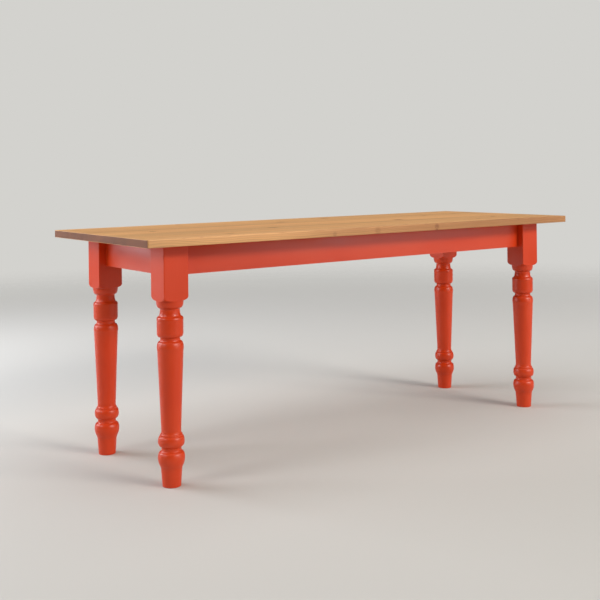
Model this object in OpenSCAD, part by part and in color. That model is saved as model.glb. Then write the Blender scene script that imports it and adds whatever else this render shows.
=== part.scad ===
// Farmhouse dining table. A plank top is held by buttons on a painted base of
// four turned legs and four aprons, with bolted corner braces and two cross rails.
// The origin is on the floor under the middle of the top: +X runs along the top,
// +Y to its back and +Z up. All sizes are in millimetres.

/* [Overall size] */
// Length of the top
top_length = 1900; // [1500:10:2400]
// Width of the top
top_width = 700; // [580:10:1000]
// Height of the top's face above the floor
table_height = 780; // [640:5:940]

/* [Top] */
// Thickness of the boards
top_thickness = 25; // [20:1:40]
// Number of boards, edge to edge
board_count = 5; // [3:1:7]
// Round on the top's outer edges
edge_round = 3; // [1:0.5:6]
// Round on the top's four corners, seen from above
corner_round = 5; // [2:1:20]
// Bevel along each joint between boards
joint_bevel = 0.7; // [0.3:0.1:2]
// Reach of the top past the legs at each end
end_overhang = 92; // [40:2:160]
// Reach of the top past the legs at each long side
side_overhang = 75; // [30:1:120]

/* [Legs] */
// Side of the square blank that a leg is turned from
leg_square = 86; // [68:1:110]
// Length of the square block at a leg's head
block_length = 175; // [150:1:240]
// Height of the rounded corners at the block's lower end
block_corner_height = 17; // [10:1:40]
// Height of the tapered foot
foot_height = 50; // [35:1:80]
// Height of the ball, with the curve that flares into it from the foot
ball_height = 59; // [40:1:80]
// Height of the neck between ball and bead
low_neck_height = 16; // [8:1:30]
// Height of the bead
bead_height = 33; // [20:1:50]
// Height of the fillet and cove at the column's lower end
column_cove_height = 17; // [12:1:30]
// Height of the rounded shoulder at the column's head
shoulder_height = 36; // [20:1:50]
// Height of the neck between column and barrel
high_neck_height = 14; // [10:1:30]
// Height of the barrel, with the curve above it
barrel_height = 84; // [60:1:120]
// Height of the collar between barrel and block
collar_height = 30; // [20:1:40]
// Depth turned away at the floor end of the foot
foot_cut = 14; // [8:0.5:20]
// Depth turned away at the upper end of the foot
foot_top_cut = 10.5; // [6:0.5:16]
// Depth turned away at the widest part of the ball
ball_cut = 0.9; // [0.5:0.1:8]
// Depth turned away at the widest part of the bead
bead_cut = 1.8; // [0.5:0.1:8]
// Depth turned away at the necks
neck_cut = 12; // [9:0.5:18]
// Depth turned away at the column's lower end
column_low_cut = 12.2; // [9:0.1:18]
// Depth turned away at the column's head, below its shoulder
column_high_cut = 2.6; // [1:0.1:8]
// Depth turned away at the column's shoulder
shoulder_cut = 1.2; // [0.5:0.1:6]
// Depth turned away at the barrel
barrel_cut = 1.7; // [0.5:0.1:6]

/* [Aprons] */
// Height of the aprons
apron_height = 97; // [80:1:130]
// Thickness of the aprons
apron_thickness = 25; // [20:1:32]
// Distance from a leg's outer face in to the apron's outer face
apron_setback = 27; // [2:1:32]
// Length of the stub tenon at each end of an apron
tenon_length = 18; // [10:1:24]
// Thickness of the stub tenon
tenon_thickness = 12; // [8:1:16]
// Shoulder above and below the stub tenon
tenon_shoulder = 14; // [8:1:25]
// Gap on each side of a tenon in its mortise
tenon_gap = 0.1; // [0.05:0.05:0.5]
// Gap at a tenon's end
tenon_end_gap = 1; // [0.5:0.5:3]

/* [Corner braces] */
// Thickness of a corner brace
brace_thickness = 28; // [18:1:36]
// Height of a corner brace
brace_height = 70; // [55:1:80]
// Gap between a brace and the leg's inner corner
brace_gap = 3; // [1:0.5:8]
// Height between the two screws at each end of a brace
brace_screw_spacing = 44; // [25:1:55]
// Wood left under the heads of the brace screws
brace_screw_seat = 10; // [6:1:16]
// Length of the brace screws under the head
brace_screw_length = 26; // [18:1:30]

/* [Hanger bolts] */
// Radius of the hanger bolts
bolt_radius = 4; // [3:0.5:6]
// Depth of a hanger bolt in the leg
bolt_depth = 40; // [25:1:50]
// Length of a hanger bolt past its nut
bolt_tail = 5; // [2:1:12]
// Gap around a hanger bolt where it passes the brace
bolt_hole_gap = 0.5; // [0.3:0.1:1.5]
// Radius of the washers
washer_radius = 11; // [9:0.5:16]
// Thickness of the washers
washer_thickness = 1.6; // [1:0.1:3]
// Width of a nut across its flats, past the bolt's diameter
nut_wall = 5; // [4:0.5:9]
// Height of the nuts
nut_height = 6.5; // [4:0.5:10]

/* [Cross rails] */
// Distance between the two cross rails
rail_spacing = 460; // [200:10:700]
// Thickness of the cross rails
rail_thickness = 25; // [20:1:35]
// Height of the cross rails
rail_height = 60; // [45:1:90]
// Depth of the housing in the apron for a rail's end
rail_housing = 8; // [4:1:10]
// Gap on each side of a rail in its housing
rail_gap = 0.1; // [0.05:0.05:0.5]
// Wood left under the heads of the rail screws
rail_screw_seat = 20; // [12:1:30]

/* [Buttons] */
// Distance between the buttons on a long apron
button_spacing = 465; // [400:5:600]
// Length of a button's body, square to its apron
button_length = 38; // [30:1:50]
// Width of a button
button_width = 26; // [20:1:40]
// Thickness of a button
button_thickness = 20; // [14:1:28]
// Length of a button's tongue
tongue_length = 9; // [5:0.5:10]
// Thickness of a button's tongue
tongue_thickness = 8; // [5:0.5:10]
// Gap under and behind a tongue in the apron's groove
groove_gap = 1; // [0.5:0.5:3]

/* [Screws] */
// Radius of the wood screws
screw_radius = 2; // [1.5:0.25:2.5]
// Radius of the screw heads
screw_head_radius = 4; // [3:0.25:5]
// Height of the screw heads
screw_head_height = 2.4; // [1.5:0.1:3.5]
// Depth of the screws in the top
screw_bite = 16; // [10:1:18]
// Gap around a screw or bolt in the wood that it bites
pilot_gap = 0.1; // [0.05:0.05:0.3]
// Radius of the pocket for a screw's head
pocket_radius = 5; // [4.5:0.5:7]

/* [Hidden] */
$fn = 64;
ARC_STEPS = 8;
OVERCUT = 1;
PAINT = "#d4503a";
PINE = "#cfa271";
RAW_PINE = "#d8bd92";
STEEL = "#b4b6ba";

half_square = leg_square / 2;
leg_x = top_length / 2 - end_overhang - half_square;
leg_y = top_width / 2 - side_overhang - half_square;
board_width = top_width / board_count;
base_height = table_height - top_thickness;

// From a leg's axis out to the apron's middle plane and in to its inner face
apron_plane = half_square - apron_setback - apron_thickness / 2;
apron_inner = half_square - apron_setback - apron_thickness;
apron_middle_z = base_height - apron_height / 2;
tenon_height = apron_height - 2 * tenon_shoulder;
inner_x = leg_x + apron_inner;
inner_y = leg_y + apron_inner;

// Along an apron's inner face from the corner: where a brace starts and ends
brace_start = 2 * (half_square + apron_inner) + brace_gap * sqrt(2);
brace_end = brace_start + brace_thickness * sqrt(2);
brace_screw_reach = brace_start + 0.4 * (brace_end - brace_start);

button_base_z = base_height - button_thickness;
tongue_top_z = button_base_z + tongue_thickness;
button_screw_reach = 0.6 * button_length;
button_screw_length = button_thickness + screw_bite;
rail_screw_length = rail_screw_seat + screw_bite;
nut_radius = (2 * bolt_radius + nut_wall) / 2 / cos(30);

CORNERS = [
    [-1, -1, "front_left"],
    [1, -1, "front_right"],
    [-1, 1, "back_left"],
    [1, 1, "back_right"]
];
SIDES = [[-1, "front"], [1, "back"]];
ENDS = [[-1, "left"], [1, "right"]];
// Places of the buttons: the apron's side or end, the place along it, the name
SIDE_BUTTONS = [
    for (side = SIDES, i = [0:2]) [side[0], (i - 1) * button_spacing, str(side[1], "_", i + 1)]
];

// Stretches of an outline, each a quarter of an ellipse between two points
function quarter(centre, radii, from, to) = [
    for (i = [0:ARC_STEPS])
        let (a = from + (to - from) * i / ARC_STEPS)
        [centre[0] + radii[0] * cos(a), centre[1] + radii[1] * sin(a)]
];
function round_out(p, q) = quarter([p[0], q[1]], q - p, -90, 0);
function round_in(p, q) = quarter([q[0], p[1]], [p[0] - q[0], q[1] - p[1]], 0, 90);
function cove_out(p, q) = quarter([q[0], p[1]], q - p, 180, 90);
function cove_in(p, q) = quarter([p[0], q[1]], [p[0] - q[0], q[1] - p[1]], 270, 180);

// Shallow curves between two points: upright at the first, or upright at the last
function gentle_cove(p, q) = [
    for (i = [0:ARC_STEPS])
        let (t = i / ARC_STEPS)
        [p[0] + (q[0] - p[0]) * t * t, p[1] + (q[1] - p[1]) * t]
];
function gentle_round(p, q) = [
    for (i = [0:ARC_STEPS])
        let (t = i / ARC_STEPS)
        [q[0] - (q[0] - p[0]) * (1 - t) * (1 - t), p[1] + (q[1] - p[1]) * t]
];

// An outline without points that repeat the one before
function no_repeats(points) = [
    for (i = [0:len(points) - 1])
        if (i == 0 || norm(points[i] - points[i - 1]) > 0.01) points[i]
];

// Rectangle around the origin with its corners rounded
module eased_rectangle(width, height, r) {
    x = width / 2 - r;
    y = height / 2 - r;
    polygon(concat(
        quarter([x, y], [r, r], 0, 90),
        quarter([-x, y], [r, r], 90, 180),
        quarter([-x, -y], [r, r], 180, 270),
        quarter([x, -y], [r, r], 270, 360)
    ));
}

// Draws for the back right corner, and mirrors that to the corner at hand
module at_corner(corner) {
    mirror([corner[0] < 0 ? 1 : 0, 0, 0])
    mirror([0, corner[1] < 0 ? 1 : 0, 0])
        children();
}

// A screw with its head's seat at the origin and its point towards +Z
module screw(length) {
    point = 2 * screw_radius;
    difference() {
        rotate_extrude()
            polygon([
                [0, -screw_head_height],
                [0.6 * screw_head_radius, -screw_head_height],
                [screw_head_radius, -0.5 * screw_head_height],
                [screw_head_radius, 0],
                [screw_radius, 0],
                [screw_radius, length - point],
                [0, length]
            ]);
        for (turn = [0, 90])
            rotate([0, 0, turn])
                translate([-0.5 * screw_head_radius, -0.4, -screw_head_height - OVERCUT])
                    cube([screw_head_radius, 0.8, 1.2 + OVERCUT]);
    }
}

// The room that a screw takes, with a pocket for its head
module screw_room(length, pocket_depth) {
    cylinder(r = screw_radius + pilot_gap, h = length + pilot_gap);
    translate([0, 0, -pocket_depth])
        cylinder(r = pocket_radius, h = pocket_depth);
}

// ---------- Top ----------

module at_rail_screws(end) {
    for (i = [1:board_count - 2])
        translate([end[0] * rail_spacing / 2, (i + 0.5) * board_width - top_width / 2,
                   base_height - rail_screw_seat])
            children();
}

module at_side_button_screw(place) {
    translate([place[1], place[0] * (inner_y - button_screw_reach), button_base_z])
        children();
}

module at_end_button_screw(end) {
    translate([end[0] * (inner_x - button_screw_reach), 0, button_base_z])
        children();
}

module top_slab() {
    translate([0, 0, table_height - top_thickness / 2])
    intersection() {
        rotate([90, 0, 0])
            linear_extrude(top_width, center = true)
                eased_rectangle(top_length, top_thickness, edge_round);
        rotate([90, 0, 90])
            linear_extrude(top_length, center = true)
                eased_rectangle(top_width, top_thickness, edge_round);
        linear_extrude(top_thickness, center = true)
            eased_rectangle(top_length, top_width, corner_round);
    }
}

module joint_groove() {
    translate([0, 0, table_height])
        rotate([45, 0, 0])
            cube([top_length + OVERCUT, joint_bevel * sqrt(2), joint_bevel * sqrt(2)],
                 center = true);
}

module board(i) {
    front_y = i * board_width - top_width / 2;
    color(PINE)
    difference() {
        intersection() {
            top_slab();
            translate([-top_length / 2, front_y, base_height])
                cube([top_length, board_width, top_thickness]);
        }
        if (i > 0)
            translate([0, front_y, 0]) joint_groove();
        if (i < board_count - 1)
            translate([0, front_y + board_width, 0]) joint_groove();
        for (end = ENDS) {
            at_rail_screws(end) screw_room(rail_screw_length, 0);
            at_end_button_screw(end) screw_room(button_screw_length, 0);
        }
        for (place = SIDE_BUTTONS)
            at_side_button_screw(place) screw_room(button_screw_length, 0);
    }
}

// ---------- Legs ----------

// Half outline of a turned leg, from the floor up to the block's lower end
function turned_outline() =
    let (
        foot_r = half_square - foot_cut,
        foot_top_r = half_square - foot_top_cut,
        ball_r = half_square - ball_cut,
        bead_r = half_square - bead_cut,
        neck_r = half_square - neck_cut,
        fillet_r = neck_r + 3,
        low_r = half_square - column_low_cut,
        high_r = half_square - column_high_cut,
        shoulder_r = half_square - shoulder_cut,
        barrel_r = half_square - barrel_cut,
        flare_r = (foot_top_r + ball_r) / 2,
        flare_top = foot_height + 0.3 * ball_height,
        ball_middle = foot_height + 0.68 * ball_height,
        ball_top = foot_height + ball_height,
        bead_z = ball_top + low_neck_height,
        bead_top = bead_z + bead_height,
        column_z = bead_top + column_cove_height,
        collar_top = base_height - block_length,
        barrel_top = collar_top - collar_height,
        barrel_z = barrel_top - barrel_height,
        column_top = barrel_z - high_neck_height,
        shoulder_z = column_top - shoulder_height,
        shoulder_middle = column_top - 0.6 * shoulder_height
    )
    no_repeats(concat(
        [[0, 0], [foot_r - 1.5, 0]],
        round_out([foot_r - 1.5, 0], [foot_r, 2]),
        gentle_cove([foot_top_r, foot_height], [flare_r, flare_top]),
        gentle_round([flare_r, flare_top], [ball_r, ball_middle]),
        round_in([ball_r, ball_middle], [fillet_r, ball_top]),
        cove_in([fillet_r, ball_top + 1], [neck_r, ball_top + 0.4 * low_neck_height]),
        cove_out([neck_r, bead_z - 0.4 * low_neck_height], [fillet_r, bead_z - 1]),
        round_out([fillet_r, bead_z], [bead_r, bead_z + 0.5 * bead_height]),
        round_in([bead_r, bead_z + 0.5 * bead_height], [fillet_r + 1, bead_top]),
        [[fillet_r + 1, bead_top + 5]],
        cove_in([fillet_r, bead_top + 6], [low_r, column_z]),
        [[high_r, shoulder_z]],
        gentle_cove([high_r, shoulder_z], [shoulder_r, shoulder_middle]),
        round_in([shoulder_r, shoulder_middle], [fillet_r + 1, column_top]),
        cove_in([fillet_r, column_top + 1], [neck_r, column_top + 0.6 * high_neck_height]),
        [[neck_r, barrel_z - 2], [fillet_r - 1, barrel_z - 1]],
        round_out([fillet_r, barrel_z], [barrel_r, barrel_z + 12]),
        [[barrel_r, barrel_top - 38]],
        gentle_cove([barrel_r, barrel_top - 38], [shoulder_r, barrel_top - 30]),
        round_in([shoulder_r, barrel_top - 30], [shoulder_r - 4, barrel_top - 21]),
        cove_in([shoulder_r - 5, barrel_top - 20], [neck_r, barrel_top]),
        cove_out([neck_r, barrel_top + 2], [fillet_r, barrel_top + 6]),
        round_out([fillet_r + 1, barrel_top + 7], [half_square - 0.5, collar_top - 3])
    ));

// Half outline of the block, whose corners a turner rounds over at the lower end
function block_outline() =
    let (
        collar_top = base_height - block_length,
        corner_r = half_square * sqrt(2)
    )
    concat(
        round_out([half_square - 0.2, collar_top], [corner_r, collar_top + block_corner_height]),
        [[corner_r + OVERCUT, base_height], [0, base_height]]
    );

// Mortise for a tenon that enters the leg at x = -half_square along +X
module mortise() {
    translate([-half_square - OVERCUT, apron_plane - tenon_thickness / 2 - tenon_gap,
               apron_middle_z - tenon_height / 2 - tenon_gap])
        cube([tenon_length + tenon_end_gap + OVERCUT, tenon_thickness + 2 * tenon_gap,
              tenon_height + 2 * tenon_gap]);
}

module leg(corner) {
    color(PAINT)
    at_corner(corner)
    translate([leg_x, leg_y, 0])
    difference() {
        intersection() {
            rotate_extrude($fn = 96)
                polygon(concat(turned_outline(), block_outline()));
            translate([-half_square, -half_square, 0])
                cube([leg_square, leg_square, base_height]);
        }
        mortise();
        mirror([1, -1, 0]) mortise();
        along_bolt() cylinder(r = bolt_radius + pilot_gap, h = bolt_depth + pilot_gap);
    }
}

// ---------- Aprons ----------

// An apron along X, with its outer face at y = 0 and its inner face behind it
module apron_board(run) {
    translate([-run / 2, 0, base_height - apron_height])
        cube([run, apron_thickness, apron_height]);
    translate([-run / 2 - tenon_length, (apron_thickness - tenon_thickness) / 2,
               base_height - apron_height + tenon_shoulder])
        cube([run + 2 * tenon_length, tenon_thickness, tenon_height]);
}

// The groove for the buttons' tongues, along the inner face of an apron
module button_groove(run) {
    depth = tongue_length + groove_gap;
    translate([-run / 2 - OVERCUT, apron_thickness - depth,
               button_base_z - groove_gap])
        cube([run + 2 * OVERCUT, depth + OVERCUT, tongue_thickness + groove_gap]);
}

module side_apron(side) {
    run = 2 * (leg_x - half_square);
    color(PAINT)
    mirror([0, side[0] > 0 ? 1 : 0, 0])
    difference() {
        translate([0, -inner_y - apron_thickness, 0]) difference() {
            apron_board(run);
            button_groove(run);
        }
        for (end = ENDS) {
            translate([end[0] * rail_spacing / 2 - rail_thickness / 2 - rail_gap,
                       -inner_y - rail_housing - rail_gap, base_height - rail_height - rail_gap])
                cube([rail_thickness + 2 * rail_gap, rail_housing + rail_gap + OVERCUT,
                      rail_height + rail_gap + OVERCUT]);
            at_corner([end[0], -1]) side_brace_screw_rooms(0);
        }
    }
}

module end_apron(end) {
    run = 2 * (leg_y - half_square);
    color(PAINT)
    mirror([end[0] > 0 ? 1 : 0, 0, 0])
    difference() {
        rotate([0, 0, -90])
            translate([0, -inner_x - apron_thickness, 0]) difference() {
                apron_board(run);
                button_groove(run);
            }
        for (side = SIDES)
            at_corner([-1, side[0]]) end_brace_screw_rooms(0);
    }
}

// ---------- Corner braces and their bolts ----------

// From the leg's inner corner at the origin, +Z towards the leg's axis
module along_bolt() {
    translate([-half_square, -half_square, apron_middle_z])
        rotate([0, 90, 45])
            children();
}

// The two screws from a brace into the apron along the table's side
module at_side_brace_screws() {
    for (up = [-0.5, 0.5])
        translate([inner_x - brace_screw_reach, inner_y - brace_screw_seat,
                   apron_middle_z + up * brace_screw_spacing])
            rotate([-90, 0, 0])
                children();
}

// The two screws from a brace into the apron at the table's end
module at_end_brace_screws() {
    for (up = [-0.5, 0.5])
        translate([inner_x - brace_screw_seat, inner_y - brace_screw_reach,
                   apron_middle_z + up * brace_screw_spacing])
            rotate([0, 90, 0])
                children();
}

module side_brace_screw_rooms(pocket_depth) {
    at_side_brace_screws() screw_room(brace_screw_length, pocket_depth);
}

module end_brace_screw_rooms(pocket_depth) {
    at_end_brace_screws() screw_room(brace_screw_length, pocket_depth);
}

module brace(corner) {
    color(RAW_PINE)
    at_corner(corner)
    difference() {
        translate([inner_x, inner_y, apron_middle_z - brace_height / 2])
            linear_extrude(brace_height)
                polygon([
                    [-brace_start, 0],
                    [0, -brace_start],
                    [0, -brace_end],
                    [-brace_end, 0]
                ]);
        side_brace_screw_rooms(brace_end);
        end_brace_screw_rooms(brace_end);
        translate([leg_x, leg_y, 0])
            along_bolt()
                translate([0, 0, -brace_gap - brace_thickness - OVERCUT])
                    cylinder(r = bolt_radius + bolt_hole_gap, h = brace_thickness + 2 * OVERCUT);
    }
}

module hanger_bolt(corner) {
    point = 1.5 * bolt_radius;
    reach = brace_gap + brace_thickness + washer_thickness + nut_height + bolt_tail;
    color(STEEL)
    at_corner(corner)
    translate([leg_x, leg_y, 0])
    along_bolt()
        rotate_extrude()
            polygon([
                [0, -reach],
                [bolt_radius - 1, -reach],
                [bolt_radius, 1 - reach],
                [bolt_radius, bolt_depth - point],
                [1, bolt_depth],
                [0, bolt_depth]
            ]);
}

module washer(corner) {
    color(STEEL)
    at_corner(corner)
    translate([leg_x, leg_y, 0])
    along_bolt()
        translate([0, 0, -brace_gap - brace_thickness - washer_thickness])
            difference() {
                cylinder(r = washer_radius, h = washer_thickness);
                translate([0, 0, -OVERCUT])
                    cylinder(r = bolt_radius + bolt_hole_gap, h = washer_thickness + 2 * OVERCUT);
            }
}

module nut(corner) {
    color(STEEL)
    at_corner(corner)
    translate([leg_x, leg_y, 0])
    along_bolt()
        translate([0, 0, -brace_gap - brace_thickness - washer_thickness - nut_height])
            difference() {
                cylinder(r = nut_radius, h = nut_height, $fn = 6);
                translate([0, 0, -OVERCUT])
                    cylinder(r = bolt_radius + pilot_gap, h = nut_height + 2 * OVERCUT);
            }
}

module brace_screws(corner) {
    color(STEEL)
    at_corner(corner) {
        at_side_brace_screws() screw(brace_screw_length);
        at_end_brace_screws() screw(brace_screw_length);
    }
}

// ---------- Cross rails ----------

module rail(end) {
    length = 2 * (inner_y + rail_housing);
    color(RAW_PINE)
    difference() {
        translate([end[0] * rail_spacing / 2 - rail_thickness / 2, -length / 2,
                   base_height - rail_height])
            cube([rail_thickness, length, rail_height]);
        at_rail_screws(end) screw_room(rail_screw_length, rail_height);
    }
}

module rail_screws(end) {
    color(STEEL)
    at_rail_screws(end) screw(rail_screw_length);
}

// ---------- Buttons ----------

// A button whose tongue enters its apron along +Y, with its shoulder at y = 0
module button_block() {
    difference() {
        union() {
            translate([-button_width / 2, -button_length, button_base_z])
                cube([button_width, button_length, button_thickness]);
            translate([-button_width / 2, -OVERCUT, button_base_z])
                cube([button_width, tongue_length + OVERCUT, tongue_thickness]);
        }
        translate([0, -button_screw_reach, button_base_z])
            screw_room(button_screw_length, OVERCUT);
    }
}

module side_button(place) {
    color(RAW_PINE)
    mirror([0, place[0] < 0 ? 1 : 0, 0])
        translate([place[1], inner_y, 0])
            button_block();
}

module end_button(end) {
    color(RAW_PINE)
    mirror([end[0] < 0 ? 1 : 0, 0, 0])
        translate([inner_x, 0, 0])
            rotate([0, 0, -90])
                button_block();
}

module side_button_screw(place) {
    color(STEEL)
    at_side_button_screw(place) screw(button_screw_length);
}

module end_button_screw(end) {
    color(STEEL)
    at_end_button_screw(end) screw(button_screw_length);
}

for (i = [1:board_count])
    board(i - 1);
for (corner = CORNERS) {
    leg(corner);
    brace(corner);
    hanger_bolt(corner);
    washer(corner);
    nut(corner);
    brace_screws(corner);
}
for (side = SIDES)
    side_apron(side);
for (end = ENDS) {
    end_apron(end);
    rail(end);
    rail_screws(end);
    end_button(end);
    end_button_screw(end);
}
for (place = SIDE_BUTTONS) {
    side_button(place);
    side_button_screw(place);
}
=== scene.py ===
"""Looks of the farmhouse dining table: its camera, light, floor, woods, paint and fittings.

Lengths are in metres, or in millimetres where they are multiplied by MM. +X runs along the
top, +Y to its back and +Z up.
"""

import math

import bpy
import bmesh
from mathutils import Matrix, Vector


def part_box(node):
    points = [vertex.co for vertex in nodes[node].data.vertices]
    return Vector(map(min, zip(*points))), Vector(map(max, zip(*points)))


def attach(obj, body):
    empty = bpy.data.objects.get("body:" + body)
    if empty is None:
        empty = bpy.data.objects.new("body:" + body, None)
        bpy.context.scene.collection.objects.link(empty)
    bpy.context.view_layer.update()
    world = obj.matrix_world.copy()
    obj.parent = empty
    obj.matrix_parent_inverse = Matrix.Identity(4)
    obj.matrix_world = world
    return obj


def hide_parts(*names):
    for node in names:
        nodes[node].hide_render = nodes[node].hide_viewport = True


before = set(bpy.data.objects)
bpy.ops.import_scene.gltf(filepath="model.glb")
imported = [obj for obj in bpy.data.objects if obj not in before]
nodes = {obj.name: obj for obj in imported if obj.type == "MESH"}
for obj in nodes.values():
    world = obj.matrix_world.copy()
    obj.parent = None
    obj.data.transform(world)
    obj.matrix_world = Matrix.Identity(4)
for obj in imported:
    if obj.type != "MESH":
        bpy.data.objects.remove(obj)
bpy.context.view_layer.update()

MM = 0.001
SHARP_FROM = 38    # degrees between two faces from which their edge stays crisp
CORNERS = [("front_left", -1, -1), ("front_right", 1, -1), ("back_left", -1, 1),
           ("back_right", 1, 1)]


# ---------- Small helpers ----------

def linear(hex_colour):
    """An sRGB hex value as linear red, green, blue and alpha."""
    channels = [int(hex_colour[i:i + 2], 16) / 255 for i in (1, 3, 5)]
    return tuple(c / 12.92 if c <= 0.04045 else ((c + 0.055) / 1.055) ** 2.4
                 for c in channels) + (1.0,)


def add(tree, kind, inputs=None, stops=None, **settings):
    """Adds a node, with its settings, its ramp's stops, and its inputs as values or links."""
    node = tree.nodes.new(kind)
    for name, value in settings.items():
        setattr(node, name, value)
    if stops:
        elements = node.color_ramp.elements
        while len(elements) < len(stops):
            elements.new(1.0)
        for element, (place, colour) in zip(elements, stops):
            element.position = place
            element.color = linear(colour)
    for key, value in (inputs or {}).items():
        if isinstance(value, bpy.types.Node):
            value = value.outputs[0]
        if isinstance(value, bpy.types.NodeSocket):
            tree.links.new(value, node.inputs[key])
        else:
            node.inputs[key].default_value = value
    return node


def new_material(name):
    """An empty node material with its shader."""
    material = bpy.data.materials.new(name)
    material.use_nodes = True
    tree = material.node_tree
    tree.nodes.clear()
    shader = add(tree, "ShaderNodeBsdfPrincipled")
    add(tree, "ShaderNodeOutputMaterial", {"Surface": shader})
    return material, tree, shader


def dress(name, material):
    """Gives a CAD node its material."""
    for slot in nodes[name].material_slots:
        slot.material = material


def new_object(name, vertices, edges=(), faces=()):
    """An object at the origin with a mesh of its own."""
    mesh = bpy.data.meshes.new(name)
    mesh.from_pydata(vertices, edges, faces)
    made = bpy.data.objects.new(name, mesh)
    bpy.context.scene.collection.objects.link(made)
    return made


def settle(piece, slot, *replaced):
    """Keeps crisp edges crisp, and makes the piece ride and stand for its CAD nodes."""
    piece.data.set_sharp_from_angle(angle=math.radians(SHARP_FROM))
    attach(piece, "root")
    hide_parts(*replaced)


# ---------- Camera ----------

EYE = Vector((-2.332, -3.0265, 0.9885))
EYE_TURN = 0.6532    # radians to the right of +Y
EYE_ROLL = -0.0113
LENS = 60.32         # millimetres, on a sensor 36 mm wide
SHIFT_X, SHIFT_Y = -0.0438, -0.2208

camera_data = bpy.data.cameras.new("camera")
camera_data.sensor_width = 36
camera_data.lens = LENS
camera_data.shift_x = SHIFT_X
camera_data.shift_y = SHIFT_Y
camera = bpy.data.objects.new("camera", camera_data)
bpy.context.scene.collection.objects.link(camera)
camera.matrix_world = (Matrix.Translation(EYE) @ Matrix.Rotation(-EYE_TURN, 4, "Z")
                       @ Matrix.Rotation(math.pi / 2, 4, "X") @ Matrix.Rotation(EYE_ROLL, 4, "Z"))
bpy.context.scene.camera = camera
bpy.context.scene.view_settings.view_transform = "Standard"


# ---------- Pine ----------

HEART_WANDER = (0, 90 * MM, 60 * MM)
RIPPLE = 3.5 * MM
FIBRE_SCALE = (7, 480, 480)
STREAK_SCALE = (0.9, 14, 14)
KNOT_SWIRL = 1.5    # how many rings a knot pushes aside
RESIN = "#cdbbac"
KNOT_HALO = "#b9834c"
KNOT_DARK, KNOT_PALE = "#7d4a26", "#a0683a"
KNOT_BARK = "#4a2c18"


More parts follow.
